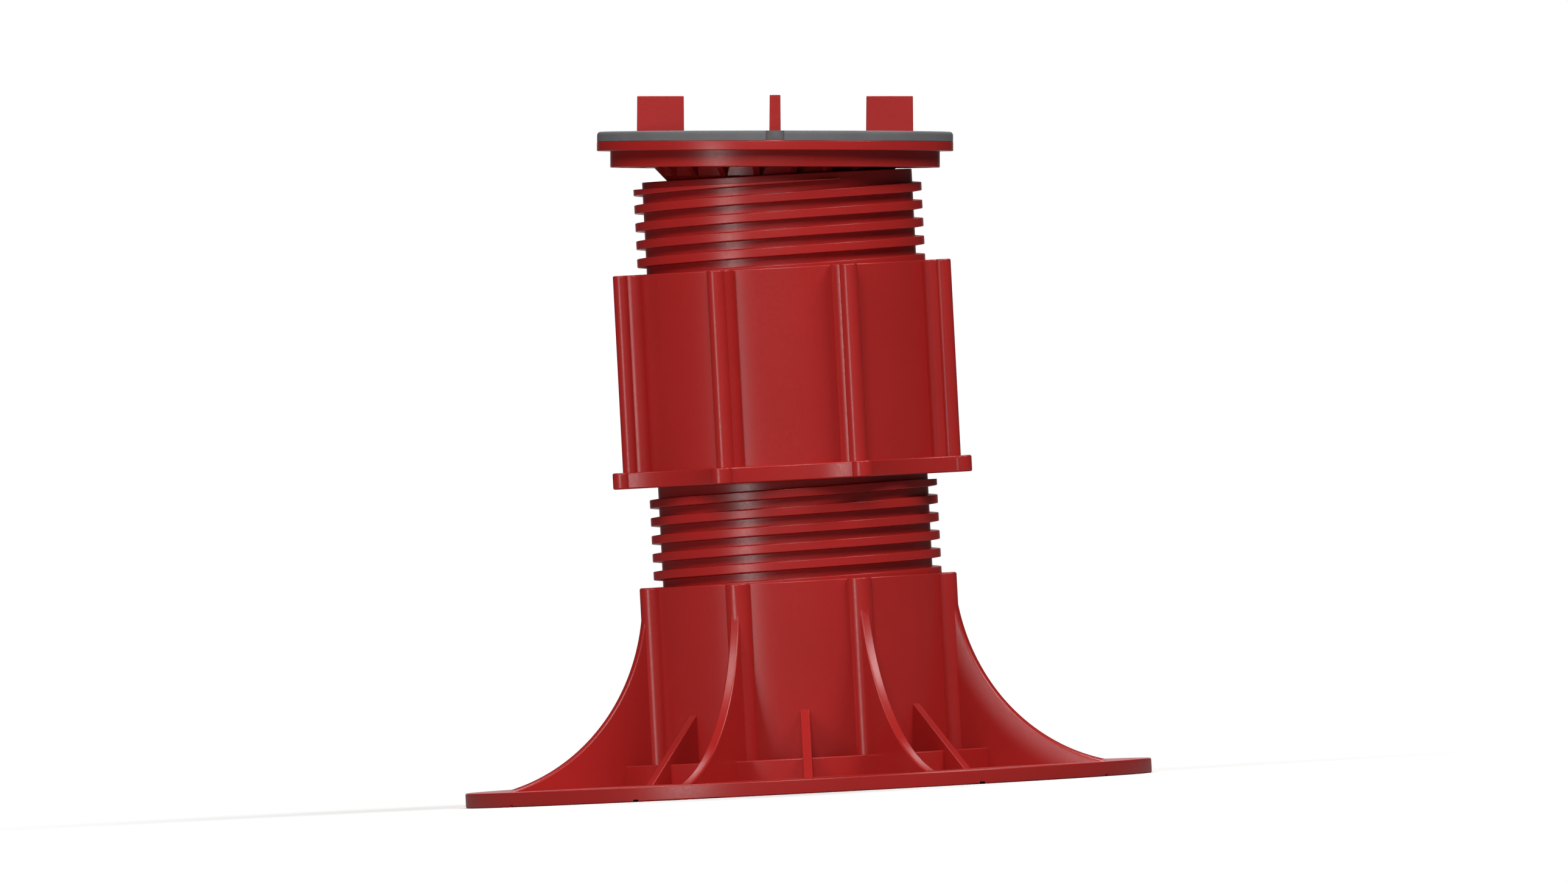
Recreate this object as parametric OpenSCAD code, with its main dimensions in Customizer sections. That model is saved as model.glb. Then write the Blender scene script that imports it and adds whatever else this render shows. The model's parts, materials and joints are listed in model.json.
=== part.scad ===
// Adjustable pedestal for a raised floor of paving slabs, in millimetres.
// A finned base on the ground, a coupler that screws into it, a jack screw that screws into the
// coupler, and a head that tilts in a ball seat so that it stays level on ground that falls.
// The origin is the middle of the base's underside. The head is shown tilted, low side to +X.

/* [Base] */
// Outer diameter of the base plate
base_d = 205; // [180:1:240]
// Thickness of the base plate
base_t = 4.4; // [3:0.1:7]
// Height of the base's socket above the ground
socket_h = 62.8; // [50:0.1:90]
// Thickness of the plate inside the socket
floor_t = 3; // [2:0.1:4]
// Diameter of the drain hole in the middle of the base
drain_d = 30; // [10:1:60]
// Thickness of the long fins
fin_t = 3; // [2:0.1:5]
// Reach of a long fin past the socket's wall, at the socket's top
fin_top = 3; // [1:0.1:8]
// Radius of the hollow curve of the long fins
fin_curve_r = 60; // [56:1:62]
// Thickness of the small gussets between the fins
gusset_t = 2.8; // [2:0.1:5]
// Length of the small gussets, along the ground and up the socket
gusset_l = 20.2; // [10:0.1:24]
// Radius of the low ring wall
ring_r = 59; // [56:0.5:64]
// Thickness of the low ring wall
ring_t = 2; // [1.5:0.1:4]
// Height of the low ring wall above the plate
ring_h = 5.8; // [3:0.1:12]
// Distance of the trimming grooves from the middle
groove_x = 51.4; // [30:0.1:80]
// Width of the trimming grooves
groove_w = 1.5; // [1:0.1:3]
// Depth of the trimming grooves
groove_deep = 0.7; // [0.3:0.1:1.5]

/* [Ribs] */
// Number of fins on the base, and of ribs on the coupler
rib_count = 8; // [6:1:12]
// Radius of the half-round ribs on the socket
pillar_r = 3.7; // [2.5:0.1:5]
// How far the middle of a half-round rib stands out from the socket's wall
pillar_out = 0.2; // [0:0.1:1.5]
// Radius of the half-round ribs on the coupler
coupler_rib_r = 4; // [2.5:0.1:5]
// How far the middle of a coupler's rib stands out from its wall
coupler_rib_out = 0.8; // [0:0.1:1.5]

/* [Thread] */
// Outer diameter of the threads
thread_d = 86; // [70:1:100]
// Depth of the threads
thread_deep = 2.7; // [2:0.1:3.2]
// Advance of one turn
pitch = 5.35; // [4.8:0.05:8]
// Width of the thread at its crest
crest_w = 2.5; // [2:0.05:2.6]
// Slope of the thread's sides
flank_deg = 6.5; // [3:0.5:12]
// Gap between a thread and its nut, at crest and root
thread_gap = 0.4; // [0.3:0.05:0.8]
// Gap between a thread's side and its nut
flank_gap = 0.3; // [0.2:0.05:0.4]
// Wall of the threaded tubes, under the thread
tube_wall = 2.8; // [2:0.1:5]
// Wall of the sockets, outside the nut's thread
socket_wall = 3.6; // [3:0.1:6]
// Turns of thread inside each socket
nut_turns = 4; // [2:1:6]

/* [Coupler] */
// Height from the flange's underside to the top of the coupler
coupler_h = 63.6; // [50:0.1:90]
// Length of the threaded tube below the flange
coupler_thread_l = 56; // [45:0.5:60]
// Length of that tube that shows above the base
lower_show = 29.8; // [5:0.1:40]
// Thickness of the scalloped flange
flange_t = 4.9; // [3:0.1:8]
// Radius of the flange's lobes
lobe_r = 3.2; // [2:0.1:5]
// How far the middle of a lobe lies from the coupler's wall
lobe_out = 7.5; // [5:0.1:10]
// Radius of the hollows between the lobes
hollow_r = 41; // [30:1:80]
// Radius of the bead on each rib of the coupler
bead_r = 2.65; // [1.5:0.05:4]
// How far the middle of a bead lies from the coupler's wall
bead_out = 4.7; // [3:0.1:7]

/* [Jack screw] */
// Length of the jack screw
screw_l = 60; // [50:0.5:75]
// Length of the jack screw that shows above the coupler
upper_show = 27.5; // [8:0.1:42]
// Distance from the thread's upper end to the top of the jack screw
plain_end = 0.8; // [0.6:0.1:5]

/* [Head] */
// Tilt of the head, low side to +X
head_tilt = 3; // [0:0.5:3]
// Outer diameter of the head
head_d = 106.4; // [96:0.1:140]
// Thickness of the rubber pad
pad_t = 2.9; // [2:0.1:5]
// Thickness of the head's plate
plate_t = 2.9; // [2:0.1:5]
// Diameter of the lower step of the head
tier_d = 98.4; // [94:0.1:130]
// Height of the lower step of the head
tier_t = 4.9; // [4:0.1:8]
// Height of the ribbed drum below the step
drum_h = 4.1; // [3:0.1:5]
// Outer radius of the drum's ribs
drum_rib_r = 36.6; // [34.6:0.1:36.6]
// How far the drum's ribs stand out
drum_rib_h = 2.7; // [1:0.1:4]
// Thickness of the drum's ribs
drum_rib_t = 2.3; // [1:0.1:4]
// Number of ribs round the drum
drum_ribs = 20; // [12:1:28]
// Radius of the ball under the head
ball_r = 31; // [30:0.1:31.5]
// Wall of the ball's bowl
bowl_wall = 3; // [2:0.1:4]
// Height of the ball's middle above the top of the jack screw
pivot_up = 10; // [9.9:0.1:11]
// Width of the notches in the pad's rim
notch_w = 5.8; // [3:0.1:9]
// Depth of the notches in the pad's rim
notch_deep = 6; // [2:0.1:9]

/* [Spacer tabs] */
// Height of a tab above the pad
tab_h = 10.7; // [3:0.1:20]
// Distance from the head's rim to the far end of a tab
tab_rim = 11.9; // [7:0.1:13]
// Length of a tab
tab_l = 14.2; // [8:0.1:16]
// Thickness of a tab at the pad
tab_t = 3.5; // [2:0.1:5]
// Taper of a tab on each side, from the pad to its top
tab_taper = 0.15; // [0:0.05:0.4]
// How deep a tab's foot sits in the plate
tab_foot = 4; // [2:0.1:5]
// Gap round a tab's foot
tab_gap = 0.15; // [0.1:0.05:0.3]

/* [Swivel seat] */
// Height of the seat ring
seat_h = 7.2; // [5:0.1:7.4]
// Thickness of the jack screw's inner ledge under the seat ring
ledge_t = 3; // [2:0.1:5]
// Running gap round the seat ring
seat_gap = 0.3; // [0.2:0.05:0.4]

/* [Hidden] */
$fn = 96;
tilt_max = 3;             // the most that the head leans either way
turn_steps = 36;          // facets round one turn of a thread
run_out = 0.25;           // turns over which a thread fades at each end
run_out_w = 0.25;         // width of a thread at its very end, as a share of its full width
thread_start = 2;         // from the inner end of a tube or the mouth of a socket to its thread
thread_stop = 1;          // from the flange to the upper end of the coupler's thread
sunk = 0.8;               // how far a thread's root reaches into the wall that carries it
lap = 1;                  // how far pieces that are one moulding reach into each other
past = 1;                 // how far a cut runs past a face
hollow_left = 0.2;        // what the hollows between the flange's lobes leave over the wall
core_wall = 2.2;          // walls round the hollows under the head's step
drum_gap = 0.8;           // between the drum and the seat ring, with the head leaning its most
ledge_back = 6;           // how far the jack screw's ledge stands back from the ball
tab_wall = 3.1;           // between the tabs and the mouth of the bowl
pad_edge_r = 0.8;         // rounding of the pad's upper edge

crest_r = thread_d / 2;
root_r = crest_r - thread_deep;
tube_r = root_r - tube_wall;             // bore of the threaded tubes
nut_r = crest_r + thread_gap;            // bore of the sockets
nut_tip_r = root_r + thread_gap;         // inner edge of the nuts' threads
wall_r = nut_r + socket_wall;            // outside of the sockets
flank = tan(flank_deg);
root_w = crest_w + 2 * thread_deep * flank;
nut_tip_w = pitch - root_w - 2 * flank_gap;

flange_z = socket_h + lower_show;
coupler_top = flange_z + coupler_h;
coupler_end = flange_z - coupler_thread_l;
screw_top = coupler_top + upper_show;
screw_end = screw_top - screw_l;
lower_zero = flange_z - 2.3;             // heights at which the middles of the two threads
upper_zero = screw_top - pitch;          // cross +X
pivot_z = screw_top + pivot_up;
pad_top = 3.1;                           // of the pad, above the ball's middle
plate_top = pad_top - pad_t;
tier_top = plate_top - plate_t;
tier_end = tier_top - tier_t;
drum_end = tier_end - drum_h;
drum_end_r = drum_rib_r - drum_h;        // the drum's ribs are cut by a 45 degree cone
bowl_r = ball_r - bowl_wall;
tab_in = head_d / 2 - tab_rim - tab_l;   // near end of a tab, from the middle
recess_r = tab_in - tab_wall;            // mouth of the bowl

seat_top = drum_end - drum_end_r * sin(tilt_max) - drum_gap;
seat_end = seat_top - seat_h;            // these two are measured from the ball's middle
ledge_r = sqrt(pow(ball_r, 2) - pow(seat_end, 2)) + ledge_back;

// count copies round the axis, the first on +X, or half a step on where half is 1
module around(count, half = 0) {
    for (i = [0:count - 1]) rotate(360 / count * (i + half / 2)) children();
}

module ring(outer, inner, h) {
    difference() {
        cylinder(r = outer, h = h);
        translate([0, 0, -past]) cylinder(r = inner, h = h + 2 * past);
    }
}

// A right-hand thread standing out of a wall of radius root to the radius crest, which is smaller
// than root in a nut. Its middle is at z_zero where it crosses +X, or whole turns from that, and
// it runs from low to high, and narrows and sinks into the wall at each end.
module thread(root, crest, tip_w, low, high, z_zero) {
    side = sign(crest - root);
    step = pitch / turn_steps;
    first = ceil((low - z_zero) / step);
    count = floor((high - z_zero) / step) - first;
    inner = root - side * sunk;
    function grown(i) = min(1, min(i, count - i) / (run_out * turn_steps));
    function tip(i) = root - side * sunk / 2 + (crest - root + side * sunk / 2) * grown(i);
    function half_w(i, r) =
        (tip_w / 2 + abs(crest - r) * flank) * (run_out_w + (1 - run_out_w) * grown(i));
    function at(i, r, up) = let (a = 360 * (first + i) / turn_steps)
        [r * cos(a), r * sin(a), z_zero + step * (first + i) + up * side * half_w(i, r)];
    function section(i) = [at(i, inner, -1), at(i, tip(i), -1), at(i, tip(i), 1), at(i, inner, 1)];
    function strip(a, b, c, d) = [[a, b, c], [a, c, d]];
    polyhedron(
        points = [for (i = [0:count]) each section(i)],
        faces = [
            each strip(0, 3, 2, 1),
            for (i = [0:count - 1], e = [0:3])
                each strip(4 * i + e, 4 * i + (e + 1) % 4, 4 * i + 4 + (e + 1) % 4, 4 * i + 4 + e),
            each strip(4 * count, 4 * count + 1, 4 * count + 2, 4 * count + 3),
        ]);
}

// The nut's thread fills the groove of the screw that it carries, so it lies half a pitch on
module nut_thread(mouth, z_zero) {
    high = mouth - thread_start;
    thread(nut_r, nut_tip_r, nut_tip_w, high - nut_turns * pitch, high, z_zero + pitch / 2);
}

// One long fin, in the plane of its rib: the hollow curve meets the socket's top and the plate
module fin() {
    reach = wall_r + fin_top + fin_curve_r;
    rotate([90, 0, 0]) linear_extrude(fin_t, center = true) difference() {
        translate([wall_r - lap, base_t - lap])
            square([reach - wall_r - sqrt(pow(fin_curve_r, 2) - pow(socket_h - base_t + lap, 2)),
                socket_h - base_t + lap]);
        translate([reach, socket_h]) circle(r = fin_curve_r);
    }
}

module gusset() {
    rotate([90, 0, 0]) linear_extrude(gusset_t, center = true) polygon([
        [wall_r - lap, base_t - lap], [wall_r + gusset_l + lap, base_t - lap],
        [wall_r, base_t + gusset_l], [wall_r - lap, base_t + gusset_l]]);
}

module trimming_grooves() {
    for (turn = [0, 90], side = [-1, 1])
        rotate(turn) translate([side * groove_x - groove_w / 2, -base_d, -past])
            cube([groove_w, 2 * base_d, groove_deep + past]);
}

// Outline of a socket with half-round ribs, without its bore
module ribbed_outline(rib_r, rib_out) {
    circle(r = wall_r);
    around(rib_count, 1) translate([wall_r + rib_out, 0]) circle(r = rib_r);
}

// The coupler's thread runs in the socket's plain bore, as clear of it as of a nut
module base() {
    color("firebrick") difference() {
        union() {
            cylinder(d = base_d, h = base_t);
            linear_extrude(socket_h) ribbed_outline(pillar_r, pillar_out);
            around(rib_count, 1) fin();
            around(rib_count) gusset();
            translate([0, 0, base_t - lap]) ring(ring_r, ring_r - ring_t, ring_h + lap);
        }
        translate([0, 0, floor_t]) cylinder(r = nut_r, h = socket_h);
        translate([0, 0, -past]) cylinder(d = drain_d, h = floor_t + 2 * past);
        trimming_grooves();
    }
}

// Outline of the grip flange: a lobe at each rib, and between them hollows that reach the wall
module flange_outline() {
    difference() {
        circle(r = wall_r + lobe_out);
        around(rib_count) translate([wall_r + hollow_left + hollow_r, 0]) circle(r = hollow_r);
    }
    around(rib_count, 1) translate([wall_r + lobe_out, 0]) circle(r = lobe_r);
}

module coupler() {
    color("firebrick") {
        difference() {
            union() {
                translate([0, 0, flange_z]) {
                    linear_extrude(flange_t) flange_outline();
                    linear_extrude(coupler_h) {
                        ribbed_outline(coupler_rib_r, coupler_rib_out);
                        around(rib_count, 1) translate([wall_r + bead_out, 0]) circle(r = bead_r);
                    }
                }
                translate([0, 0, coupler_end]) cylinder(r = root_r, h = coupler_thread_l + lap);
            }
            translate([0, 0, flange_z + floor_t]) cylinder(r = nut_r, h = coupler_h);
            translate([0, 0, coupler_end - past]) cylinder(r = tube_r, h = coupler_thread_l + coupler_h);
        }
        thread(root_r, crest_r, crest_w, coupler_end + thread_start, flange_z - thread_stop, lower_zero);
        nut_thread(coupler_top, upper_zero);
    }
}

module jack_screw() {
    color("firebrick") {
        difference() {
            translate([0, 0, screw_end]) cylinder(r = root_r, h = screw_l);
            translate([0, 0, screw_end - past]) cylinder(r = tube_r, h = screw_l + 2 * past);
        }
        translate([0, 0, pivot_z + seat_end - seat_gap - ledge_t]) ring(tube_r + lap, ledge_r, ledge_t);
        thread(root_r, crest_r, crest_w, screw_end + thread_start, screw_top - plain_end, upper_zero);
    }
}

module swivel_seat() {
    color("whitesmoke") translate([0, 0, pivot_z]) difference() {
        translate([0, 0, seat_end]) cylinder(r = tube_r - seat_gap, h = seat_h);
        sphere(r = ball_r + seat_gap);
    }
}

// The head's own frame: its origin is the ball's middle, and it leans as a whole
module head_frame() {
    translate([0, 0, pivot_z]) rotate([0, head_tilt, 0]) children();
}

module drum() {
    intersection() {
        translate([0, 0, drum_end]) cylinder(r1 = drum_end_r, r2 = drum_rib_r, h = drum_h + 0.001);
        union() {
            translate([0, 0, drum_end]) cylinder(r = drum_rib_r - drum_rib_h, h = drum_h + lap);
            around(drum_ribs, 1) translate([drum_rib_r / 2, -drum_rib_t / 2, drum_end])
                cube([drum_rib_r, drum_rib_t, drum_h + lap]);
        }
    }
}

// Hollows under the head's step, between its rim and the drum, with the drum's ribs carried on
module core_pockets() {
    translate([0, 0, tier_end - past]) difference() {
        ring(tier_d / 2 - core_wall, drum_rib_r + core_wall, past + tier_t - core_wall);
        around(drum_ribs, 1) translate([0, -drum_rib_t / 2, -past]) cube([head_d, drum_rib_t, head_d]);
    }
}

module tab_slot(depth, z) {
    around(4) translate([tab_in - tab_gap, -tab_t / 2 - tab_gap, z])
        cube([tab_l + 2 * tab_gap, tab_t + 2 * tab_gap, depth]);
}

module head_plate() {
    color("firebrick") head_frame() difference() {
        union() {
            translate([0, 0, tier_top]) cylinder(d = head_d, h = plate_t);
            translate([0, 0, tier_end]) cylinder(d = tier_d, h = tier_t);
            drum();
            intersection() {
                sphere(r = ball_r);
                translate([0, 0, -ball_r - past]) cylinder(r = ball_r, h = ball_r + past + drum_end + lap);
            }
        }
        intersection() {
            sphere(r = bowl_r);
            translate([0, 0, -ball_r]) cylinder(r = recess_r, h = 2 * ball_r);
        }
        cylinder(r = recess_r, h = ball_r);
        core_pockets();
        tab_slot(tab_foot + tab_gap + past, plate_top - tab_foot - tab_gap);
    }
}

module head_pad() {
    color("dimgray") head_frame() translate([0, 0, plate_top]) difference() {
        rotate_extrude() {
            square([head_d / 2 - pad_edge_r, pad_t]);
            square([head_d / 2, pad_t - pad_edge_r]);
            translate([head_d / 2 - pad_edge_r, pad_t - pad_edge_r]) circle(r = pad_edge_r);
        }
        around(4) translate([head_d / 2 - notch_deep + notch_w / 2, 0, -past]) {
            cylinder(d = notch_w, h = pad_t + 2 * past);
            translate([0, -notch_w / 2]) cube([notch_deep, notch_w, pad_t + 2 * past]);
        }
        tab_slot(pad_t + 2 * past, -past);
    }
}

// A blade that narrows a little upwards, on a straight foot that fills its slot
module spacer_tab(i) {
    low = plate_top - tab_foot;
    color("firebrick") head_frame() rotate(90 * i) intersection() {
        rotate([90, 0, 0]) linear_extrude(tab_t, center = true) polygon([
            [tab_in, low], [tab_in + tab_l, low], [tab_in + tab_l, pad_top],
            [tab_in + tab_l - tab_taper, pad_top + tab_h], [tab_in + tab_taper, pad_top + tab_h],
            [tab_in, pad_top]]);
        rotate([90, 0, 90]) linear_extrude(head_d) polygon([
            [-tab_t / 2, low], [tab_t / 2, low], [tab_t / 2, pad_top],
            [tab_t / 2 - tab_taper, pad_top + tab_h], [tab_taper - tab_t / 2, pad_top + tab_h],
            [-tab_t / 2, pad_top]]);
    }
}

base();
coupler();
jack_screw();
swivel_seat();
head_plate();
head_pad();
for (i = [1:4]) spacer_tab(i);
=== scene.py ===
# Raised floor pedestal: shapes and finishes laid over the CAD frame
import bpy, bmesh, json, math
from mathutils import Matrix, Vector


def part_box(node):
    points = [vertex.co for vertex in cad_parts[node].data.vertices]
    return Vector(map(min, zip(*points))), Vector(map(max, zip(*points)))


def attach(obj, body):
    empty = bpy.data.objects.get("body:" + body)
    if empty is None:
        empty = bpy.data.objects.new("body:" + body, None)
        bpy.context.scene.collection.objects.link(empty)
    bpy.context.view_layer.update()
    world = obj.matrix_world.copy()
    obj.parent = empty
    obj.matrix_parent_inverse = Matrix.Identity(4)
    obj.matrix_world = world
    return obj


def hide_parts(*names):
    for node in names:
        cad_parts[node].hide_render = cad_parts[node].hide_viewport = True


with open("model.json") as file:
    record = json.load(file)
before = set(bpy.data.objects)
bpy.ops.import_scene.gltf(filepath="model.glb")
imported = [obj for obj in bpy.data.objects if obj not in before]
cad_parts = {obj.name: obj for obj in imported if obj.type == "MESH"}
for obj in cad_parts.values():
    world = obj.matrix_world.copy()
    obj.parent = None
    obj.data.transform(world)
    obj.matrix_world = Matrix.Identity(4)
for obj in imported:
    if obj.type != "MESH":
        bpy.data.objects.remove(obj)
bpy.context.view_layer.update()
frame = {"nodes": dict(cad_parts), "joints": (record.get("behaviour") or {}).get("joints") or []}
bpy.ops.object.select_all(action="DESELECT")
mm = 0.001
hair = 1e-6  # metres: nearer than this counts as on the plane
past = 1.0  # mm: how far a cutter stands out of what it cuts
facets = {"bead": 40, "lobe": 48, "drain": 96, "ball": 96, "bore": 160, "wall": 192, "rim": 256}
smoothBelow = 32  # degrees
frameBox = {node: [[round(value / mm, 3) for value in corner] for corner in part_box(node)]
            for node in frame["nodes"]}  # lowest and highest corner of each node, mm
headHinge = next(joint for joint in frame["joints"] if joint["name"] == "head_tilt")
print("frame loaded:", ", ".join(sorted(frame["nodes"])))


# small tools for working on one piece at a time; lengths reach them in metres

def takeOnly(*pieces):
    bpy.ops.object.select_all(action="DESELECT")
    for piece in pieces:
        piece.select_set(True)
    bpy.context.view_layer.objects.active = pieces[0]


def openMesh(piece, kind="FACE"):
    takeOnly(piece)
    bpy.ops.object.mode_set(mode="EDIT")
    bpy.ops.mesh.select_mode(type=kind)
    bpy.ops.mesh.select_all(action="DESELECT")
    return bmesh.from_edit_mesh(piece.data)


def closeMesh(piece):
    bpy.ops.object.mode_set(mode="OBJECT")
    piece.data.update()


def pick(piece, elements, test):  # elements is the faces, edges or verts of the open mesh
    for element in elements:
        if test(element):
            element.select_set(True)
    bmesh.update_edit_mesh(piece.data)


def settle(piece):  # its place and turn go into its mesh
    takeOnly(piece)
    bpy.ops.object.transform_apply(location=True, rotation=True, scale=True)
    return piece


def levelWith(*heights):
    return lambda point: any(abs(point.z - height) < hair for height in heights)


def roundEdges(piece, width, steps=3, where=lambda middle: True, sharper=40):
    mesh = openMesh(piece, "EDGE")
    pick(piece, mesh.edges, lambda e: e.is_manifold and e.calc_face_angle() > math.radians(sharper)
         and where((e.verts[0].co + e.verts[1].co) / 2))
    bpy.ops.mesh.bevel(offset=width, segments=steps, affect="EDGES", clamp_overlap=False)
    closeMesh(piece)


def addDisc(radius, low, high, sides=facets["bore"], at=(0, 0)):
    bpy.ops.mesh.primitive_cylinder_add(vertices=sides, radius=radius, depth=high - low,
                                        location=(at[0], at[1], (low + high) / 2))
    return settle(bpy.context.active_object)


def openBore(piece, wall):  # opens a disc right through, leaving a wall
    mesh = openMesh(piece)
    pick(piece, mesh.faces, lambda f: abs(f.normal.z) > 0.9)
    bpy.ops.mesh.inset(thickness=wall)
    bpy.ops.mesh.bridge_edge_loops()
    closeMesh(piece)


def addTube(radius, bore, low, high, sides=facets["bore"]):
    piece = addDisc(radius, low, high, sides)
    openBore(piece, radius - bore)
    return piece


def addBlock(*spans):  # x, y and z, each from and to
    bpy.ops.mesh.primitive_cube_add(size=1, location=[(low + high) / 2 for low, high in spans],
                                    scale=[high - low for low, high in spans])
    return settle(bpy.context.active_object)


def across(width):  # a span with its middle at nought
    return -width / 2 * mm, width / 2 * mm


def sliceOff(piece, point, outward):  # cuts away what lies past a plane and closes the cut
    openMesh(piece)
    bpy.ops.mesh.select_all(action="SELECT")
    bpy.ops.mesh.bisect(plane_co=point, plane_no=outward, use_fill=True, clear_outer=True, threshold=hair)
    closeMesh(piece)


def turnedCopy(piece, angle):
    one = piece.copy()
    one.data = piece.data.copy()
    bpy.context.collection.objects.link(one)
    one.rotation_euler.z = math.radians(angle)
    return one


def copiesAround(piece, count, firstAt=0.0):  # modelled once, then turned about the axis
    copies = [turnedCopy(piece, firstAt + 360 * i / count) for i in range(count)]
    bpy.data.objects.remove(piece)
    takeOnly(*copies)
    bpy.ops.object.transform_apply(location=False, rotation=True, scale=False)
    bpy.ops.object.join()
    return copies[0]


def weld(piece, *tools, how="UNION"):
    for tool in tools:
        step = piece.modifiers.new("weld", "BOOLEAN")
        step.operation, step.solver, step.object = how, "MANIFOLD", tool
        takeOnly(piece)
        bpy.ops.object.modifier_apply(modifier=step.name)
        bpy.data.objects.remove(tool)
    return piece


def finish(piece, name, body, material, slot, *nodes):
    piece.name = piece.data.name = name
    takeOnly(piece)
    bpy.ops.object.shade_smooth_by_angle(angle=math.radians(smoothBelow))
    even = piece.modifiers.new("even", "WEIGHTED_NORMAL")
    even.keep_sharp = True
    bpy.ops.object.modifier_apply(modifier=even.name)
    piece.data.materials.clear()
    piece.data.materials.append(material)
    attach(piece, body)
    if nodes:
        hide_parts(*nodes)
    print("made", name, "with", len(piece.data.polygons), "faces")


# camera first: a long lens straight at the front, turned so that the head lies level

shot = {"distance": 11.7, "lens": 900, "lean": 3.0, "aim": (-0.002, 0, 0.1045), "clipEnd": 40}

bpy.ops.object.camera_add(
    location=(shot["aim"][0], -shot["distance"], shot["aim"][2]),
    rotation=(math.radians(90), math.radians(shot["lean"]), 0))
camera = bpy.context.active_object
camera.name = "shotCamera"
camera.data.lens = shot["lens"]
camera.data.clip_end = shot["clipEnd"]
bpy.context.scene.camera = camera
print("camera placed")


# shared effects, as node groups

def nodeLink(tree, outSocket, inSocket):
    tree.links.new(outSocket, inSocket)


grainMaps = {"cloudDetail": 3, "grainDetail": 2, "cloudFrom": 0.35, "cloudTo": 0.7, "glossFrom": 0.3,
             "glossTo": 0.7}


def newGroup(name, inputs, outputs):
    tree = bpy.data.node_groups.new(name, "ShaderNodeTree")
    for way, sockets in (("INPUT", inputs), ("OUTPUT", outputs)):
        for label, kind in sockets:
            tree.interface.new_socket(name=label, in_out=way, socket_type="NodeSocket" + kind)
    return tree, tree.nodes.new("NodeGroupInput"), tree.nodes.new("NodeGroupOutput")


def mouldedGrainGroup():  # fine die texture, soft flow clouds and a slightly uneven gloss
    tree, source, result = newGroup(
        "mouldedGrain",
        [("Base Tone", "Color"), ("Cloud Tone", "Color"), ("Cloud Size", "Float"), ("Grain Size", "Float"),
         ("Gloss Low", "Float"), ("Gloss High", "Float")],
        [("Tone", "Color"), ("Roughness", "Float"), ("Height", "Float")])
    place = tree.nodes.new("ShaderNodeTexCoord")
    cloud = tree.nodes.new("ShaderNodeTexNoise")
    cloud.inputs["Detail"].default_value = grainMaps["cloudDetail"]
    grain = tree.nodes.new("ShaderNodeTexNoise")
    grain.inputs["Detail"].default_value = grainMaps["grainDetail"]
    blendTone = tree.nodes.new("ShaderNodeMix")
    blendTone.data_type = "RGBA"
    cloudMask = tree.nodes.new("ShaderNodeMapRange")
    cloudMask.inputs["From Min"].default_value = grainMaps["cloudFrom"]
    cloudMask.inputs["From Max"].default_value = grainMaps["cloudTo"]
    gloss = tree.nodes.new("ShaderNodeMapRange")
    gloss.inputs["From Min"].default_value = grainMaps["glossFrom"]
    gloss.inputs["From Max"].default_value = grainMaps["glossTo"]
    nodeLink(tree, place.outputs["Object"], cloud.inputs["Vector"])
    nodeLink(tree, place.outputs["Object"], grain.inputs["Vector"])
    nodeLink(tree, source.outputs["Cloud Size"], cloud.inputs["Scale"])
    nodeLink(tree, source.outputs["Grain Size"], grain.inputs["Scale"])
    nodeLink(tree, cloud.outputs["Fac"], cloudMask.inputs["Value"])
    nodeLink(tree, cloudMask.outputs["Result"], blendTone.inputs["Factor"])
    nodeLink(tree, source.outputs["Base Tone"], blendTone.inputs["A"])
    nodeLink(tree, source.outputs["Cloud Tone"], blendTone.inputs["B"])
    nodeLink(tree, grain.outputs["Fac"], gloss.inputs["Value"])
    nodeLink(tree, source.outputs["Gloss Low"], gloss.inputs["To Min"])
    nodeLink(tree, source.outputs["Gloss High"], gloss.inputs["To Max"])
    nodeLink(tree, blendTone.outputs["Result"], result.inputs["Tone"])
    nodeLink(tree, gloss.outputs["Result"], result.inputs["Roughness"])
    nodeLink(tree, grain.outputs["Fac"], result.inputs["Height"])
    return tree


mouldedGrain = mouldedGrainGroup()


def mouldedMaterial(name, looks):
    material = bpy.data.materials.new(name)
    material.use_nodes = True
    tree = material.node_tree
    shader = tree.nodes["Principled BSDF"]
    grain = tree.nodes.new("ShaderNodeGroup")
    grain.node_tree = mouldedGrain
    grain.inputs["Base Tone"].default_value = (*looks["tone"], 1)
    grain.inputs["Cloud Tone"].default_value = (*looks["cloudTone"], 1)
    grain.inputs["Cloud Size"].default_value = looks["cloudSize"]
    grain.inputs["Grain Size"].default_value = looks["grainSize"]
    grain.inputs["Gloss Low"].default_value = looks["gloss"][0]
    grain.inputs["Gloss High"].default_value = looks["gloss"][1]
    bump = tree.nodes.new("ShaderNodeBump")
    bump.inputs["Strength"].default_value = looks["grainStrength"]
    bump.inputs["Distance"].default_value = looks["grainDepth"]
    nodeLink(tree, grain.outputs["Tone"], shader.inputs["Base Color"])
    nodeLink(tree, grain.outputs["Roughness"], shader.inputs["Roughness"])
    nodeLink(tree, grain.outputs["Height"], bump.inputs["Height"])
    nodeLink(tree, bump.outputs["Normal"], shader.inputs["Normal"])
    shader.inputs["IOR"].default_value = looks["ior"]
    shader.inputs["Specular IOR Level"].default_value = looks["specular"]
    return material


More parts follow.
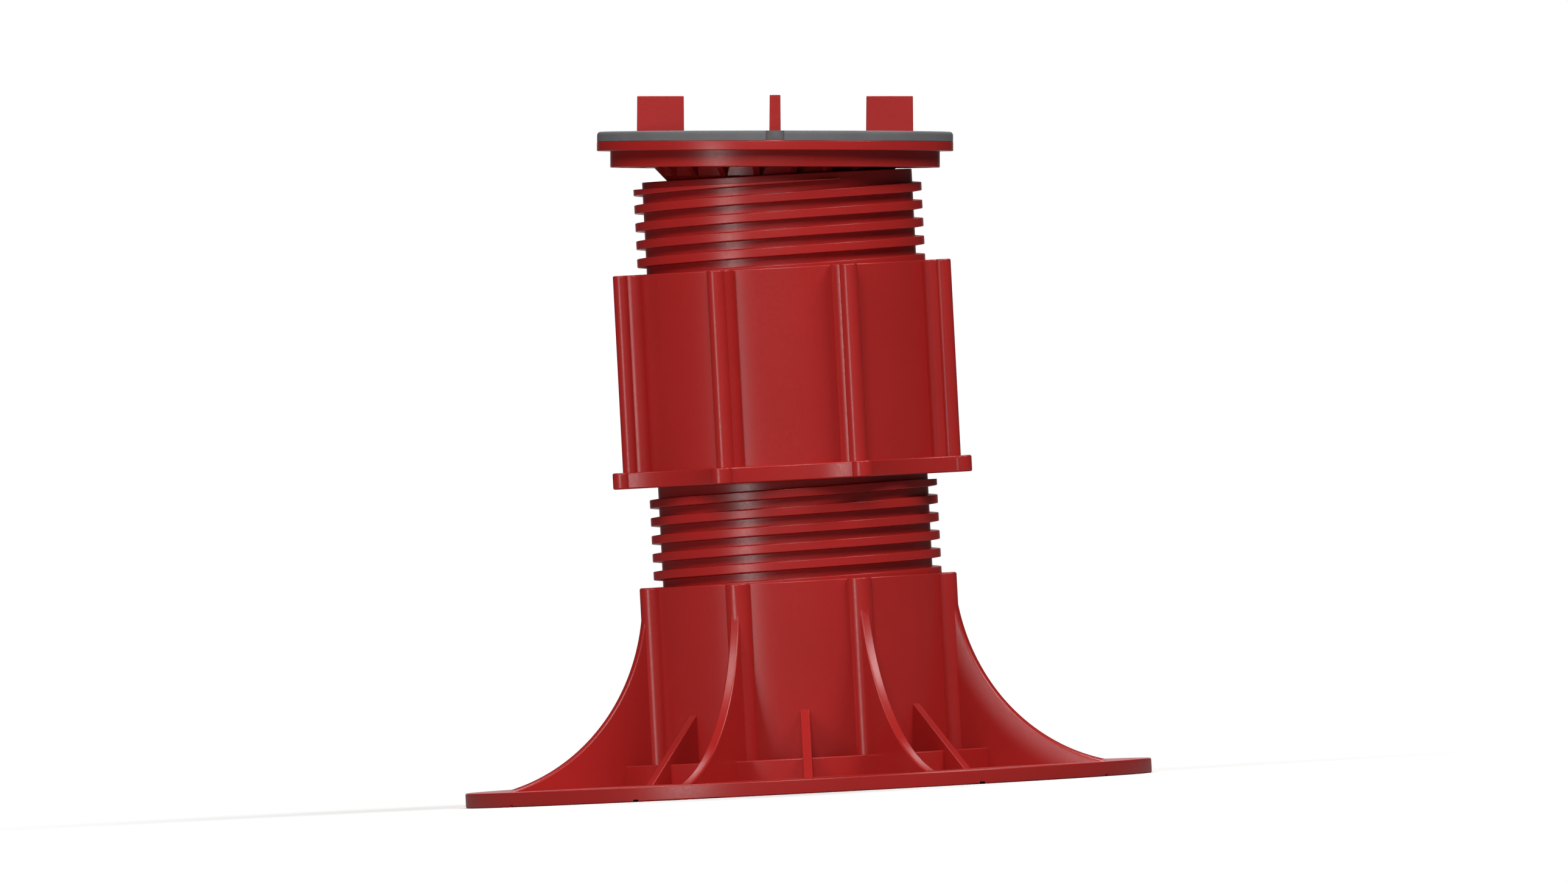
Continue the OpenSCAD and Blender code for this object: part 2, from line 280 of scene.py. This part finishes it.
redPlastic = mouldedMaterial("redPlastic", {
    "tone": (0.42, 0.0175, 0.0155), "cloudTone": (0.395, 0.016, 0.014), "cloudSize": 38, "grainSize": 1200,
    "gloss": (0.29, 0.35), "grainStrength": 0.1, "grainDepth": 0.00002, "ior": 1.49, "specular": 0.5})
padRubber = mouldedMaterial("padRubber", {
    "tone": (0.15, 0.15, 0.155), "cloudTone": (0.12, 0.12, 0.125), "cloudSize": 60, "grainSize": 1500,
    "gloss": (0.62, 0.78), "grainStrength": 0.45, "grainDepth": 0.00008, "ior": 1.5, "specular": 0.4})
seatPlastic = mouldedMaterial("seatPlastic", {
    "tone": (0.72, 0.70, 0.64), "cloudTone": (0.66, 0.64, 0.58), "cloudSize": 50, "grainSize": 2200,
    "gloss": (0.38, 0.5), "grainStrength": 0.2, "grainDepth": 0.00004, "ior": 1.49, "specular": 0.5})
print("materials ready")


# screw threads

threads = {"root": 40.3, "crest": frameBox["jack_screw"][1][0], "crestWidth": 2.5, "rootWidth": 3.115,
           "pitch": 5.35, "sunk": 1.0, "crestRound": 0.2, "crestSteps": 3, "steps": 72, "growTurns": 0.25,
           "growFrom": 0.25, "feather": 0.2}


# grows out of the tube at low and is cut flat at stop; crossing is a height at which its middle meets +X
def addThread(low, stop, crossing):
    t = threads
    high = stop + t["crestWidth"] / 2 - t["feather"]
    flare = (t["rootWidth"] - t["crestWidth"]) / (t["crest"] - t["root"])
    inner = t["root"] - t["sunk"]
    innerWidth = t["rootWidth"] + t["sunk"] * flare
    bpy.ops.mesh.primitive_plane_add(size=1, rotation=(math.radians(90), 0, 0),
                                     location=((inner + t["crest"]) / 2 * mm, 0, low * mm))
    piece = bpy.context.active_object
    piece.scale = ((t["crest"] - inner) * mm, innerWidth * mm, 1)
    settle(piece)
    mesh = openMesh(piece, "VERT")
    middle = (inner + t["crest"]) / 2 * mm
    pick(piece, mesh.verts, lambda v: v.co.x > middle)
    bpy.ops.transform.resize(value=(1, 1, t["crestWidth"] / innerWidth), center_override=(0, 0, low * mm))
    bpy.ops.mesh.bevel(offset=t["crestRound"] * mm, segments=t["crestSteps"], affect="VERTICES")
    bpy.ops.mesh.select_all(action="SELECT")
    bpy.ops.mesh.delete(type="ONLY_FACE")
    closeMesh(piece)
    around = len(piece.data.vertices)
    turns = (high - low) / t["pitch"]
    whole = math.ceil(turns)
    wind = piece.modifiers.new("wind", "SCREW")
    wind.axis = "Z"
    wind.angle = math.radians(360) * turns / whole
    wind.screw_offset = t["pitch"] * mm * turns / whole
    wind.iterations = whole
    wind.steps = wind.render_steps = t["steps"]
    wind.use_normal_calculate = False
    bpy.ops.object.modifier_apply(modifier=wind.name)
    growing = int(t["growTurns"] * t["steps"] * whole / turns)
    mesh = openMesh(piece, "VERT")
    for i in range(growing):
        share = t["growFrom"] + (1 - t["growFrom"]) * i / growing
        mesh.verts.ensure_lookup_table()
        ring = [mesh.verts[i * around + k] for k in range(around)]
        centre = sum((v.co for v in ring), Vector()) / around
        flat = Vector((centre.x, centre.y, 0)).normalized() * inner * mm
        for v in mesh.verts:
            v.select_set(False)
        for v in ring:
            v.select_set(True)
        bmesh.update_edit_mesh(piece.data)
        bpy.ops.transform.resize(value=(share, share, share), center_override=(flat.x, flat.y, centre.z))
        mesh = bmesh.from_edit_mesh(piece.data)
    bpy.ops.mesh.select_all(action="SELECT")
    bpy.ops.mesh.fill_holes(sides=0)
    bpy.ops.mesh.normals_make_consistent(inside=False)
    closeMesh(piece)
    piece.rotation_euler.z = math.radians(360) * (low - crossing) / t["pitch"]
    settle(piece)
    sliceOff(piece, (0, 0, stop * mm), (0, 0, 1))
    return piece


# base: plate, socket, half-round ribs, long fins, gussets, ring wall and trimming grooves in one moulding

base = {"plateRadius": frameBox["base"][1][0], "plateHeight": 4.4, "plateRound": 0.45,
        "socketRadius": 47.0, "bore": 43.4, "socketTop": frameBox["base"][1][2], "lipRound": 0.4,
        "floor": 3.0, "wellShy": 0.02, "drainRadius": 15.0, "ribRadius": 3.7, "ribAt": 47.2,
        "ribRound": 0.45, "finThick": 3.0, "finReach": 50.0, "finCurve": 60.0, "finSteps": 192,
        "finRound": 0.55, "gussetThick": 2.8, "gussetLength": 20.2, "gussetRound": 0.45,
        "ringRadius": 59.0, "ringThick": 2.0, "ringTop": 10.2, "grooveAt": 51.4, "grooveWidth": 1.5,
        "grooveDepth": 0.7, "grooveReach": 110.0, "lap": 1.0, "edgeClear": 0.2, "count": 8}


def addFin():  # a quarter of a circle drawn out to the wall, then given its thickness
    b = base
    centre = b["finReach"] + b["finCurve"]
    low = b["plateHeight"] - b["lap"]
    bpy.ops.mesh.primitive_circle_add(vertices=b["finSteps"], radius=b["finCurve"] * mm,
                                      rotation=(math.radians(90), 0, 0),
                                      location=(centre * mm, 0, b["socketTop"] * mm))
    fin = settle(bpy.context.active_object)
    mesh = openMesh(fin, "VERT")
    pick(fin, mesh.verts, lambda v: v.co.x > centre * mm - hair or v.co.z > b["socketTop"] * mm + hair)
    bpy.ops.mesh.delete(type="VERT")
    bpy.ops.mesh.select_all(action="SELECT")
    bpy.ops.mesh.bisect(plane_co=(0, 0, low * mm), plane_no=(0, 0, -1), clear_outer=True)
    bpy.ops.mesh.select_all(action="SELECT")
    bpy.ops.mesh.extrude_region_move()
    bpy.ops.transform.resize(value=(0, 1, 1), center_override=((b["socketRadius"] - b["lap"]) * mm, 0, 0))
    bpy.ops.mesh.select_all(action="SELECT")
    bpy.ops.mesh.extrude_region_move(TRANSFORM_OT_translate={"value": (0, b["finThick"] * mm, 0)})
    bpy.ops.mesh.select_all(action="SELECT")
    bpy.ops.transform.translate(value=(0, -b["finThick"] / 2 * mm, 0))
    bpy.ops.mesh.normals_make_consistent(inside=False)
    closeMesh(fin)
    roundEdges(fin, b["finRound"] * mm,
               where=lambda p: p.x > b["socketRadius"] * mm and p.z > (low + b["edgeClear"]) * mm)
    return fin


def addGusset():
    b = base
    low, wall = b["plateHeight"] - b["lap"], b["socketRadius"] - b["lap"]
    reach = b["socketRadius"] + b["gussetLength"]
    gusset = addBlock((wall * mm, (reach + b["lap"]) * mm), across(b["gussetThick"]),
                      (low * mm, (b["plateHeight"] + b["gussetLength"]) * mm))
    sliceOff(gusset, (reach * mm, 0, b["plateHeight"] * mm), (1, 0, 1))
    roundEdges(gusset, b["gussetRound"] * mm,
               where=lambda p: p.z > (low + b["edgeClear"]) * mm and p.x > (wall + b["edgeClear"]) * mm)
    return gusset


def makeBase():
    b = base
    low, top = (b["plateHeight"] - b["lap"]) * mm, b["socketTop"] * mm
    half = 180 / b["count"]
    body = addDisc(b["plateRadius"] * mm, 0, b["plateHeight"] * mm, facets["rim"])
    roundEdges(body, b["plateRound"] * mm)
    socket = addTube(b["socketRadius"] * mm, b["bore"] * mm, low, top, facets["wall"])
    roundEdges(socket, b["lipRound"] * mm, where=levelWith(top))
    rib = addDisc(b["ribRadius"] * mm, low, top, facets["bead"], (b["ribAt"] * mm, 0))
    roundEdges(rib, b["ribRound"] * mm, where=levelWith(top))
    ring = addTube(b["ringRadius"] * mm, (b["ringRadius"] - b["ringThick"]) * mm, low, b["ringTop"] * mm,
                   facets["wall"])
    roundEdges(ring, b["lipRound"] * mm, where=levelWith(b["ringTop"] * mm))
    weld(body, socket, copiesAround(addFin(), b["count"], half), copiesAround(rib, b["count"], half),
         copiesAround(addGusset(), b["count"]), ring)
    well = addDisc((b["bore"] - b["wellShy"]) * mm, b["floor"] * mm, top + past * mm, facets["wall"])
    drain = addDisc(b["drainRadius"] * mm, -past * mm, top, facets["drain"])
    long, deep = across(2 * b["grooveReach"]), across(2 * b["grooveDepth"])
    grooves = []
    for middle in (-b["grooveAt"], b["grooveAt"]):
        wide = [(middle + side * b["grooveWidth"] / 2) * mm for side in (-1, 1)]
        grooves += [addBlock(wide, long, deep), addBlock(long, wide, deep)]
    weld(body, well, drain, *grooves, how="DIFFERENCE")
    finish(body, "base_shell", "base", redPlastic, "red_plastic", "base")


makeBase()


# coupler: ribbed socket with a scalloped grip flange, and a threaded tube below it

coupler = {"radius": 47.0, "bore": 43.4, "low": 92.6, "top": frameBox["coupler"][1][2], "bodyLift": 0.2,
           "ribLift": 0.6, "lipRound": 0.45, "floor": 3.0, "tubeEnd": frameBox["coupler"][0][2],
           "tubeBore": 37.5, "tubeRound": 0.5, "lap": 1.0, "ribRadius": 4.0, "ribAt": 47.8,
           "beadRadius": 2.65, "beadAt": 51.7, "flangeThick": 4.9, "flangeRound": 0.5, "flangeCorner": 60,
           "flangeMerge": 0.12, "flangeFlat": 1, "lobeRadius": 3.2, "lobeAt": 54.5, "hollowRadius": 41.0,
           "hollowAt": 88.2, "threadLow": 38.6, "threadStop": 90.9, "threadCrossing": 90.3, "count": 8}


def addFlange():  # a disc with hollows cut in between the ribs and a lobe left at each rib
    c = coupler
    low, high = c["low"] * mm, (c["low"] + c["flangeThick"]) * mm
    flange = addDisc(c["lobeAt"] * mm, low, high, facets["wall"])
    hollow = addDisc(c["hollowRadius"] * mm, low - past * mm, high + past * mm, facets["rim"],
                     (c["hollowAt"] * mm, 0))
    lobe = addDisc(c["lobeRadius"] * mm, low, high, facets["lobe"], (c["lobeAt"] * mm, 0))
    for i in range(c["count"]):
        weld(flange, settle(turnedCopy(hollow, 360 * i / c["count"])), how="DIFFERENCE")
    bpy.data.objects.remove(hollow)
    weld(flange, copiesAround(lobe, c["count"], 180 / c["count"]))
    openMesh(flange)
    bpy.ops.mesh.select_all(action="SELECT")
    bpy.ops.mesh.remove_doubles(threshold=c["flangeMerge"] * mm)
    bpy.ops.mesh.dissolve_limited(angle_limit=math.radians(c["flangeFlat"]))
    closeMesh(flange)
    roundEdges(flange, c["flangeRound"] * mm, where=levelWith(low, high), sharper=c["flangeCorner"])
    return flange


def makeCoupler():
    c = coupler
    low, top = c["low"] * mm, c["top"] * mm
    half = 180 / c["count"]
    ribLow = low + c["ribLift"] * mm
    body = addDisc(c["radius"] * mm, low + c["bodyLift"] * mm, top, facets["wall"])
    rib = addDisc(c["ribRadius"] * mm, ribLow, top, facets["lobe"], (c["ribAt"] * mm, 0))
    bead = addDisc(c["beadRadius"] * mm, ribLow, top, facets["bead"], (c["beadAt"] * mm, 0))
    for piece in (body, rib, bead):
        roundEdges(piece, c["lipRound"] * mm, where=levelWith(top))
    weld(body, copiesAround(rib, c["count"], half), copiesAround(bead, c["count"], half), addFlange())
    tube = addDisc(threads["root"] * mm, c["tubeEnd"] * mm, low + c["lap"] * mm, facets["wall"])
    roundEdges(tube, c["tubeRound"] * mm, where=levelWith(c["tubeEnd"] * mm))
    weld(body, tube, addThread(c["threadLow"], c["threadStop"], c["threadCrossing"]))
    well = addDisc(c["bore"] * mm, (c["low"] + c["floor"]) * mm, top + past * mm, facets["wall"])
    through = addDisc(c["tubeBore"] * mm, (c["tubeEnd"] - past) * mm, top)
    weld(body, well, through, how="DIFFERENCE")
    finish(body, "coupler_shell", "coupler", redPlastic, "red_plastic", "coupler")


makeCoupler()


# jack screw: a threaded tube with an inner ledge for the seat ring

screw = {"end": frameBox["jack_screw"][0][2], "top": frameBox["jack_screw"][1][2], "bore": 37.5,
         "threadLow": 125.7, "threadStop": 181.7, "threadCrossing": 178.35, "ledgeBore": 28.4,
         "ledgeLow": 169.0, "ledgeHigh": 172.0, "endRound": 0.25}


def makeScrew():
    s = screw
    body = addDisc(threads["root"] * mm, s["end"] * mm, s["top"] * mm, facets["wall"])
    roundEdges(body, s["endRound"] * mm)
    weld(body, addThread(s["threadLow"], s["threadStop"], s["threadCrossing"]))
    above = addDisc(s["bore"] * mm, s["ledgeHigh"] * mm, (s["top"] + past) * mm)
    below = addDisc(s["bore"] * mm, (s["end"] - past) * mm, s["ledgeLow"] * mm)
    middle = addDisc(s["ledgeBore"] * mm, s["end"] * mm, s["top"] * mm)
    weld(body, above, below, middle, how="DIFFERENCE")
    finish(body, "jack_screw_shell", "screw", redPlastic, "red_plastic", "jack_screw")


makeScrew()


# head: built level about the ball's middle, then leaned with the CAD head

head = {"pivot": round(headHinge["pos_m"][2] / mm, 3), "lean": shot["lean"], "radius": 53.2,
        "tierRadius": 49.2, "plateTop": 0.2, "tierTop": -2.7, "tierEnd": -7.6, "edgeRound": 0.3,
        "lap": 0.6, "drumEnd": -11.7, "drumRadius": 33.5, "drumChamfer": 1.6, "ribFrom": 30.0,
        "ribOut": 36.5, "ribFoot": 31.8, "ribThick": 2.2, "ribRound": 0.25, "edgeClear": 0.3, "ribs": 20,
        "ballRadius": 31.0, "ballCut": 0.5, "pocketOut": 47.0, "pocketIn": 38.8, "pocketRoof": -4.9}


def leanWithHead(piece):
    piece.location = (0, 0, head["pivot"] * mm)
    piece.rotation_euler = (0, math.radians(head["lean"]), 0)
    return settle(piece)


def makeHeadPlate():
    h = head
    low, tierEnd = h["drumEnd"] * mm, h["tierEnd"] * mm
    body = addDisc(h["radius"] * mm, h["tierTop"] * mm, h["plateTop"] * mm, facets["rim"])
    roundEdges(body, h["edgeRound"] * mm)
    tier = addDisc(h["tierRadius"] * mm, tierEnd, (h["tierTop"] + h["lap"]) * mm, facets["rim"])
    roundEdges(tier, h["edgeRound"] * mm, where=levelWith(tierEnd))
    weld(body, tier)
    pocket = addTube(h["pocketOut"] * mm, h["pocketIn"] * mm, (h["tierEnd"] - past) * mm,
                     h["pocketRoof"] * mm)
    web = addBlock(((h["pocketIn"] - past) * mm, (h["pocketOut"] + past) * mm), across(h["ribThick"]),
                   ((h["tierEnd"] - 2 * past) * mm, (h["pocketRoof"] + past) * mm))
    weld(pocket, copiesAround(web, h["ribs"]), how="DIFFERENCE")
    weld(body, pocket, how="DIFFERENCE")
    drum = addDisc(h["drumRadius"] * mm, low, (h["tierEnd"] + h["lap"]) * mm)
    roundEdges(drum, h["drumChamfer"] * mm, 1, levelWith(low))
    rib = addBlock((h["ribFrom"] * mm, h["ribOut"] * mm), across(h["ribThick"]),
                   (low, (h["tierEnd"] + h["lap"]) * mm))
    slope = (h["tierEnd"] - h["drumEnd"], 0, h["ribFoot"] - h["ribOut"])
    sliceOff(rib, (h["ribOut"] * mm, 0, tierEnd), slope)
    roundEdges(rib, h["ribRound"] * mm, where=lambda p: p.x > (h["drumRadius"] + h["edgeClear"]) * mm
               and p.z < (h["tierEnd"] + h["edgeClear"]) * mm)
    weld(body, drum, copiesAround(rib, h["ribs"], 180 / h["ribs"]))
    bpy.ops.mesh.primitive_uv_sphere_add(segments=facets["ball"], ring_count=facets["ball"] // 2,
                                         radius=h["ballRadius"] * mm)
    ball = settle(bpy.context.active_object)
    sliceOff(ball, (0, 0, (h["drumEnd"] + h["ballCut"]) * mm), (0, 0, 1))
    weld(body, ball)
    slot = addBlock((tab["near"] * mm, (tab["near"] + tab["length"]) * mm), across(tab["thick"]),
                    ((h["plateTop"] - tab["foot"]) * mm, (h["plateTop"] + past) * mm))
    weld(body, copiesAround(slot, tab["count"]), how="DIFFERENCE")
    finish(leanWithHead(body), "head_plate_shell", "head", redPlastic, "red_plastic", "head_plate")


pad = {"top": 3.1, "round": 1.0, "notchWidth": 5.5, "notchDepth": 2.9, "slotGap": 0.15}


def makePad():
    h, p = head, pad
    low, top = h["plateTop"] * mm, p["top"] * mm
    through = (low - past * mm, top + past * mm)
    body = addDisc(h["radius"] * mm, low, top, facets["rim"])
    roundEdges(body, p["round"] * mm, where=levelWith(top))
    notchAt = (h["radius"] - p["notchDepth"] + p["notchWidth"] / 2) * mm
    notch = addDisc(p["notchWidth"] / 2 * mm, *through, facets["lobe"], (notchAt, 0))
    weld(notch, addBlock((notchAt, (h["radius"] + 2 * past) * mm), across(p["notchWidth"]), through))
    gap = p["slotGap"]
    slot = addBlock(((tab["near"] - gap) * mm, (tab["near"] + tab["length"] + gap) * mm),
                    across(tab["thick"] + 2 * gap), through)
    weld(body, copiesAround(notch, tab["count"]), copiesAround(slot, tab["count"]), how="DIFFERENCE")
    finish(leanWithHead(body), "head_pad_disc", "head", padRubber, "pad_rubber", "head_pad")


tabBox = frameBox["spacer_tab_1"]
tab = {"near": tabBox[0][1], "length": round(tabBox[1][1] - tabBox[0][1], 3),
       "thick": 2 * frameBox["spacer_tab_2"][1][1], "height": 10.7, "foot": 4.0, "taper": 0.15,
       "cornerRound": 0.3, "cornerSteps": 4, "edgeRound": 0.25, "count": 4}


def makeTabs():  # tapered a little, with the top corners and then every edge above the plate rounded
    t = tab
    low, top = (head["plateTop"] - t["foot"]) * mm, (pad["top"] + t["height"]) * mm
    blade = addBlock((t["near"] * mm, (t["near"] + t["length"]) * mm), across(t["thick"]), (low, top))
    atTop = levelWith(top)
    mesh = openMesh(blade, "VERT")
    pick(blade, mesh.verts, lambda v: atTop(v.co))
    middle = (t["near"] + t["length"] / 2) * mm
    bpy.ops.transform.resize(value=(1 - 2 * t["taper"] / t["length"], 1 - 2 * t["taper"] / t["thick"], 1),
                             center_override=(middle, 0, top))
    closeMesh(blade)
    mesh = openMesh(blade, "EDGE")
    pick(blade, mesh.edges, lambda e: all(atTop(v.co) for v in e.verts)
         and abs(e.verts[0].co.x - e.verts[1].co.x) < hair)
    bpy.ops.mesh.bevel(offset=t["cornerRound"] * mm, segments=t["cornerSteps"], affect="EDGES")
    closeMesh(blade)
    roundEdges(blade, t["edgeRound"] * mm, where=lambda p: p.z > head["plateTop"] * mm)
    for i in range(1, t["count"] + 1):
        one = settle(turnedCopy(blade, 360 * i / t["count"]))
        finish(leanWithHead(one), f"spacer_tab_blade_{i}", "head", redPlastic, "red_plastic",
               f"spacer_tab_{i}")
    bpy.data.objects.remove(blade)


makeHeadPlate()
makePad()
makeTabs()


# the seat ring keeps its CAD shape

seatRing = frame["nodes"]["swivel_seat"]
for slotOfRing in seatRing.material_slots:
    slotOfRing.material = seatPlastic
print("seat ring dressed")


# floor, background and light

room = {"size": 8.0, "floorTone": (0.93, 0.93, 0.92), "bounceTone": (0.2, 0.2, 0.2),
        "floorRoughness": 0.85, "nearFade": 0.12, "farFade": 0.34, "backdropFull": 4, "backdropEnd": 14,
        "worldTone": (0.95, 0.97, 1.0), "worldLevel": 0.02, "whiteLevel": 1.0, "lampAim": 0.10,
        "lampDistance": 1.6}
lamps = {"keyLamp": {"azimuth": 60, "elevation": 42, "size": (0.60, 0.60), "power": 12.5},
         "frontLamp": {"azimuth": -4, "elevation": 33, "size": (0.60, 0.60), "power": 12},
         "leftLamp": {"azimuth": -54, "elevation": 42, "size": (0.60, 0.60), "power": 7},
         "leftStrip": {"azimuth": -41, "elevation": 0, "size": (0.34, 0.13), "power": 3.2},
         "backLamp": {"azimuth": 180, "elevation": 52, "size": (0.80, 0.80), "power": 16}}


def seesWhite(tree, way):  # 1 for camera rays, and for glossy or transmitted rays that go to the backdrop
    rays = tree.nodes.new("ShaderNodeLightPath")
    shine = tree.nodes.new("ShaderNodeMath")
    shine.operation = "MAXIMUM"
    unit = tree.nodes.new("ShaderNodeVectorMath")
    unit.operation = "NORMALIZE"
    axes = tree.nodes.new("ShaderNodeSeparateXYZ")
    behind = tree.nodes.new("ShaderNodeMapRange")
    behind.inputs["From Min"].default_value = math.cos(math.radians(room["backdropEnd"]))
    behind.inputs["From Max"].default_value = math.cos(math.radians(room["backdropFull"]))
    backdrop = tree.nodes.new("ShaderNodeMath")
    backdrop.operation = "MULTIPLY"
    either = tree.nodes.new("ShaderNodeMath")
    either.operation = "MAXIMUM"
    nodeLink(tree, rays.outputs["Is Glossy Ray"], shine.inputs[0])
    nodeLink(tree, rays.outputs["Is Transmission Ray"], shine.inputs[1])
    nodeLink(tree, way, unit.inputs[0])
    nodeLink(tree, unit.outputs["Vector"], axes.inputs["Vector"])
    nodeLink(tree, axes.outputs["Y"], behind.inputs["Value"])
    nodeLink(tree, shine.outputs["Value"], backdrop.inputs[0])
    nodeLink(tree, behind.outputs["Result"], backdrop.inputs[1])
    nodeLink(tree, backdrop.outputs["Value"], either.inputs[0])
    nodeLink(tree, rays.outputs["Is Camera Ray"], either.inputs[1])
    return either.outputs["Value"]


def makeFloor():  # pale paint that takes the shadow and throws little light up, white further out
    bpy.ops.mesh.primitive_plane_add(size=room["size"], location=(0, 0, 0))
    floor = bpy.context.active_object
    floor.name = "floor"
    material = bpy.data.materials.new("floorPaint")
    material.use_nodes = True
    tree = material.node_tree
    paint = tree.nodes["Principled BSDF"]
    rays = tree.nodes.new("ShaderNodeLightPath")
    tone = tree.nodes.new("ShaderNodeMix")
    tone.data_type = "RGBA"
    tone.inputs["A"].default_value = (*room["bounceTone"], 1)
    tone.inputs["B"].default_value = (*room["floorTone"], 1)
    nodeLink(tree, rays.outputs["Is Camera Ray"], tone.inputs["Factor"])
    nodeLink(tree, tone.outputs["Result"], paint.inputs["Base Color"])
    paint.inputs["Roughness"].default_value = room["floorRoughness"]
    paint.inputs["Specular IOR Level"].default_value = 0.0
    white = tree.nodes.new("ShaderNodeEmission")
    white.inputs["Strength"].default_value = room["whiteLevel"]
    place = tree.nodes.new("ShaderNodeTexCoord")
    reach = tree.nodes.new("ShaderNodeVectorMath")
    reach.operation = "LENGTH"
    fade = tree.nodes.new("ShaderNodeMapRange")
    fade.interpolation_type = "SMOOTHSTEP"
    fade.inputs["From Min"].default_value = room["nearFade"]
    fade.inputs["From Max"].default_value = room["farFade"]
    share = tree.nodes.new("ShaderNodeMath")
    share.operation = "MULTIPLY"
    either = tree.nodes.new("ShaderNodeMixShader")
    nodeLink(tree, place.outputs["Object"], reach.inputs[0])
    nodeLink(tree, reach.outputs["Value"], fade.inputs["Value"])
    nodeLink(tree, fade.outputs["Result"], share.inputs[0])
    nodeLink(tree, seesWhite(tree, place.outputs["Object"]), share.inputs[1])
    nodeLink(tree, share.outputs["Value"], either.inputs["Fac"])
    nodeLink(tree, paint.outputs["BSDF"], either.inputs[1])
    nodeLink(tree, white.outputs["Emission"], either.inputs[2])
    nodeLink(tree, either.outputs["Shader"], tree.nodes["Material Output"].inputs["Surface"])
    floor.data.materials.append(material)


def makeWorld():
    world = bpy.data.worlds.new("softSky")
    world.use_nodes = True
    bpy.context.scene.world = world
    tree = world.node_tree
    sky = tree.nodes["Background"]
    sky.inputs["Color"].default_value = (*room["worldTone"], 1)
    sky.inputs["Strength"].default_value = room["worldLevel"]
    white = tree.nodes.new("ShaderNodeBackground")
    white.inputs["Color"].default_value = (1, 1, 1, 1)
    white.inputs["Strength"].default_value = room["whiteLevel"]
    place = tree.nodes.new("ShaderNodeTexCoord")
    either = tree.nodes.new("ShaderNodeMixShader")
    nodeLink(tree, seesWhite(tree, place.outputs["Generated"]), either.inputs["Fac"])
    nodeLink(tree, sky.outputs["Background"], either.inputs[1])
    nodeLink(tree, white.outputs["Background"], either.inputs[2])
    nodeLink(tree, either.outputs["Shader"], tree.nodes["World Output"].inputs["Surface"])


def addLamp(name, kind):  # stands round the column, with azimuth 0 in front
    a, e = math.radians(kind["azimuth"]), math.radians(kind["elevation"])
    aim = Vector((0, 0, room["lampAim"]))
    towards = Vector((math.sin(a) * math.cos(e), -math.cos(a) * math.cos(e), math.sin(e)))
    bpy.ops.object.light_add(type="AREA", location=aim + towards * room["lampDistance"])
    lamp = bpy.context.active_object
    lamp.name = name
    lamp.data.shape = "RECTANGLE"
    lamp.data.size, lamp.data.size_y = kind["size"]
    lamp.data.energy = kind["power"]
    lamp.rotation_euler = (-towards).to_track_quat("-Z", "Y").to_euler()


makeFloor()
makeWorld()
for name, kind in lamps.items():
    addLamp(name, kind)
print("floor, backdrop and", len(lamps), "lamps placed")
bpy.context.scene.view_settings.view_transform = "Standard"
bpy.ops.object.select_all(action="DESELECT")
